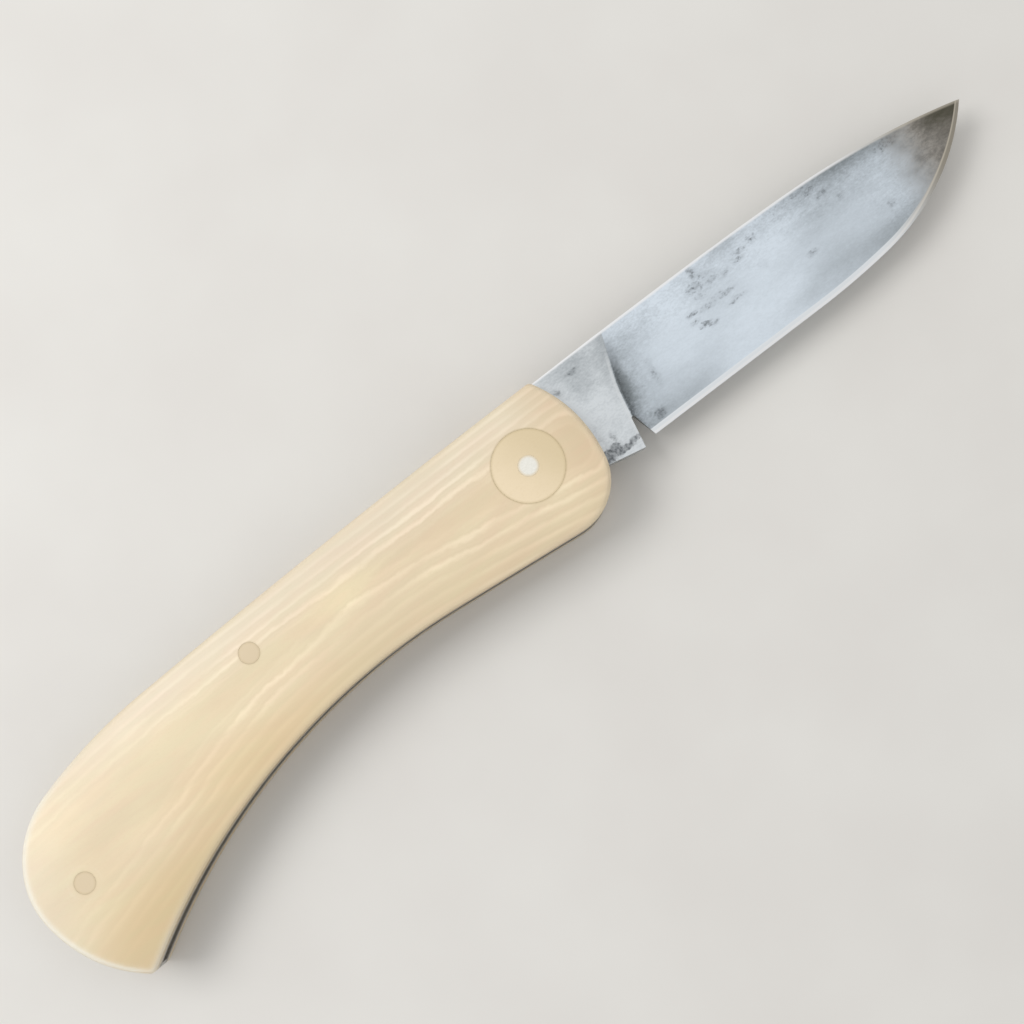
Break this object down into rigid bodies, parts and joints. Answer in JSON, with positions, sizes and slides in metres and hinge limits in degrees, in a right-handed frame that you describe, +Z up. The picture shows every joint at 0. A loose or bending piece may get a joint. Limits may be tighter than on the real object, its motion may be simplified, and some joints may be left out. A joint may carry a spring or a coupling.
{
  "type": "folding pocket knife",
  "caption": "Slip-joint folding pocket knife, open, with a drop-point blade and a curved handle with crowned cream covers, steel liners and a round inlay about the pivot.",
  "frame": {"origin": "where the pivot axis meets the surface that the knife lies on", "axes": "+X along the open blade to its tip, +Y to the spine and the handle's back, +Z up along the pivot axis"},
  "size_m": [0.1825, 0.0356, 0.0114],
  "materials": {
    "blade_steel": "satin, lightly stained carbon steel",
    "liner_steel": "satin",
    "spring_steel": "satin",
    "pin_steel": "polished",
    "bronze": "satin",
    "scale_laminate": "satin cream laminate with fine grain lines",
    "inlay_laminate": "satin tan laminate"
  },
  "bodies": {
    "handle": {"near_scale": "scale_laminate", "far_scale": "scale_laminate", "near_liner": "liner_steel", "far_liner": "liner_steel", "backspring": "spring_steel", "pivot_pin": "pin_steel", "pivot_bushing": "bronze", "near_washer": "bronze", "far_washer": "bronze", "near_pivot_disc": "inlay_laminate", "far_pivot_disc": "inlay_laminate", "spring_pin": "pin_steel", "tail_pin": "pin_steel", "near_spring_plug": "inlay_laminate", "far_spring_plug": "inlay_laminate", "near_tail_plug": "inlay_laminate", "far_tail_plug": "inlay_laminate"},
    "blade": {"blade": "blade_steel"}
  },
  "joints": [
    {"name": "blade_pivot", "type": "hinge", "parent": "handle", "child": "blade", "pos_m": [0, 0, 0], "axis": [0, 0, 1], "range_deg": [-171, 0], "deforming": ["backspring"]}
  ]
}
